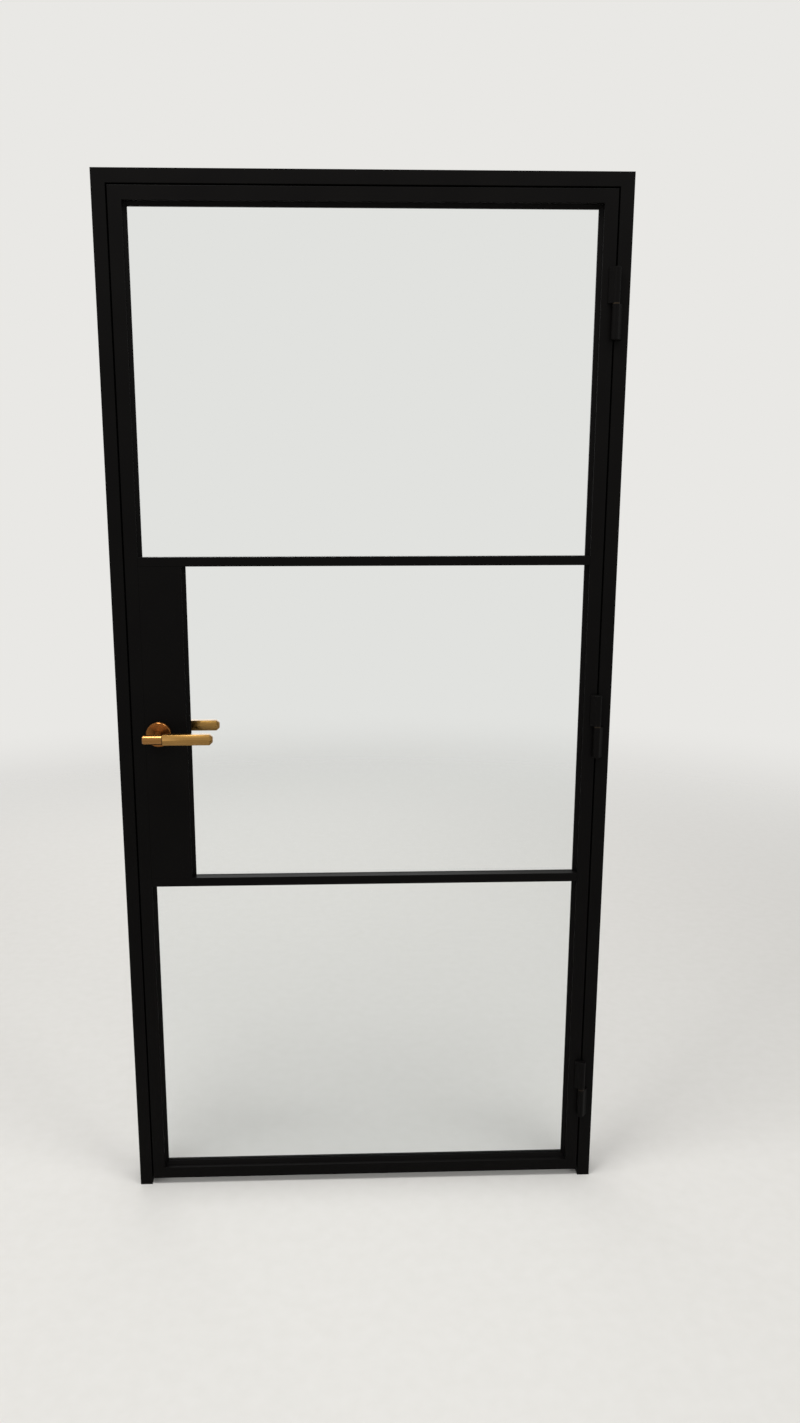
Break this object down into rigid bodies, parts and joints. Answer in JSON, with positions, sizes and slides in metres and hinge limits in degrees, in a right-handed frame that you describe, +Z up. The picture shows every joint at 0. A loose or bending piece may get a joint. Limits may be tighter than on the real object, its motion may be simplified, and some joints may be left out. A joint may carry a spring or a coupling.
{
  "type": "glazed door with frame",
  "caption": "Slim black steel glazed door in its own frame, clear panes between narrow bars, brass T-bar lever on round rose, lift-off hinges.",
  "frame": {"origin": "on the floor, midway between the jambs' outer faces, at the middle of the leaf's thickness", "axes": "+X to the right as seen from the hinge-knuckle side, +Y away from that side towards the stop, +Z up"},
  "size_m": [0.98, 0.1542, 2.038],
  "materials": {
    "black_powder_coat": "satin black powder coat",
    "clear_glass": "clear, polished",
    "black_rubber": "matt",
    "satin_brass": "satin, brushed along the bar",
    "turned_brass": "turned",
    "zinc_plated_steel": "zinc plated",
    "zinc_alloy": "cast, plain",
    "black_plastic": "moulded"
  },
  "bodies": {
    "frame": {"jamb_lock_side": "black_powder_coat", "jamb_hinge_side": "black_powder_coat", "head": "black_powder_coat", "stop_lock_side": "black_powder_coat", "stop_hinge_side": "black_powder_coat", "stop_head": "black_powder_coat", "frame_seal": "black_rubber", "strike_plate": "black_powder_coat", "strike_box": "black_plastic", "hinge_top_frame_half": "black_powder_coat", "hinge_middle_frame_half": "black_powder_coat", "hinge_bottom_frame_half": "black_powder_coat", "hinge_pins": "zinc_plated_steel", "hinge_washers": "turned_brass"},
    "leaf": {"stile_lock_side": "black_powder_coat", "stile_hinge_side": "black_powder_coat", "rail_top": "black_powder_coat", "rail_bottom": "black_powder_coat", "bar_upper": "black_powder_coat", "bar_lower": "black_powder_coat", "lock_box": "black_powder_coat", "glass_top": "clear_glass", "glass_middle": "clear_glass", "glass_bottom": "clear_glass", "gasket_top": "black_rubber", "gasket_middle": "black_rubber", "gasket_bottom": "black_rubber", "bead_top_upper": "black_powder_coat", "bead_top_lower": "black_powder_coat", "bead_top_left": "black_powder_coat", "bead_top_right": "black_powder_coat", "bead_middle_upper": "black_powder_coat", "bead_middle_lower": "black_powder_coat", "bead_middle_left": "black_powder_coat", "bead_middle_right": "black_powder_coat", "bead_bottom_upper": "black_powder_coat", "bead_bottom_lower": "black_powder_coat", "bead_bottom_left": "black_powder_coat", "bead_bottom_right": "black_powder_coat", "hinge_top_leaf_half": "black_powder_coat", "hinge_middle_leaf_half": "black_powder_coat", "hinge_bottom_leaf_half": "black_powder_coat", "lock_backing_plate": "zinc_plated_steel", "latch_case": "zinc_plated_steel", "latch_faceplate": "black_powder_coat", "latch_spring": "zinc_plated_steel", "rose_base_front": "zinc_alloy", "rose_base_back": "zinc_alloy", "rose_front": "satin_brass", "rose_back": "satin_brass", "rose_bolts": "zinc_plated_steel"},
    "lever_set": {"lever_front_neck": "satin_brass", "lever_back_neck": "satin_brass", "lever_front_grip": "satin_brass", "lever_back_grip": "satin_brass", "spindle": "zinc_plated_steel", "follower": "zinc_plated_steel"},
    "latch_bolt": {"latch_bolt": "zinc_plated_steel"}
  },
  "joints": [
    {"name": "leaf_swing", "type": "hinge", "parent": "frame", "child": "leaf", "pos_m": [0.463, -0.0223, 1.012], "axis": [0, 0, 1], "range_deg": [0, 170]},
    {"name": "lever_turn", "type": "hinge", "parent": "leaf", "child": "lever_set", "pos_m": [-0.4095, 0, 1.003], "axis": [0, 1, 0], "range_deg": [0, 35], "stiffness_Nm_per_rad": 2, "springref_deg": -28.65},
    {"name": "latch_slide", "type": "slide", "parent": "leaf", "child": "latch_bolt", "axis": [-1, 0, 0], "range_m": [0, 0.011], "deforming": ["latch_spring"]}
  ]
}
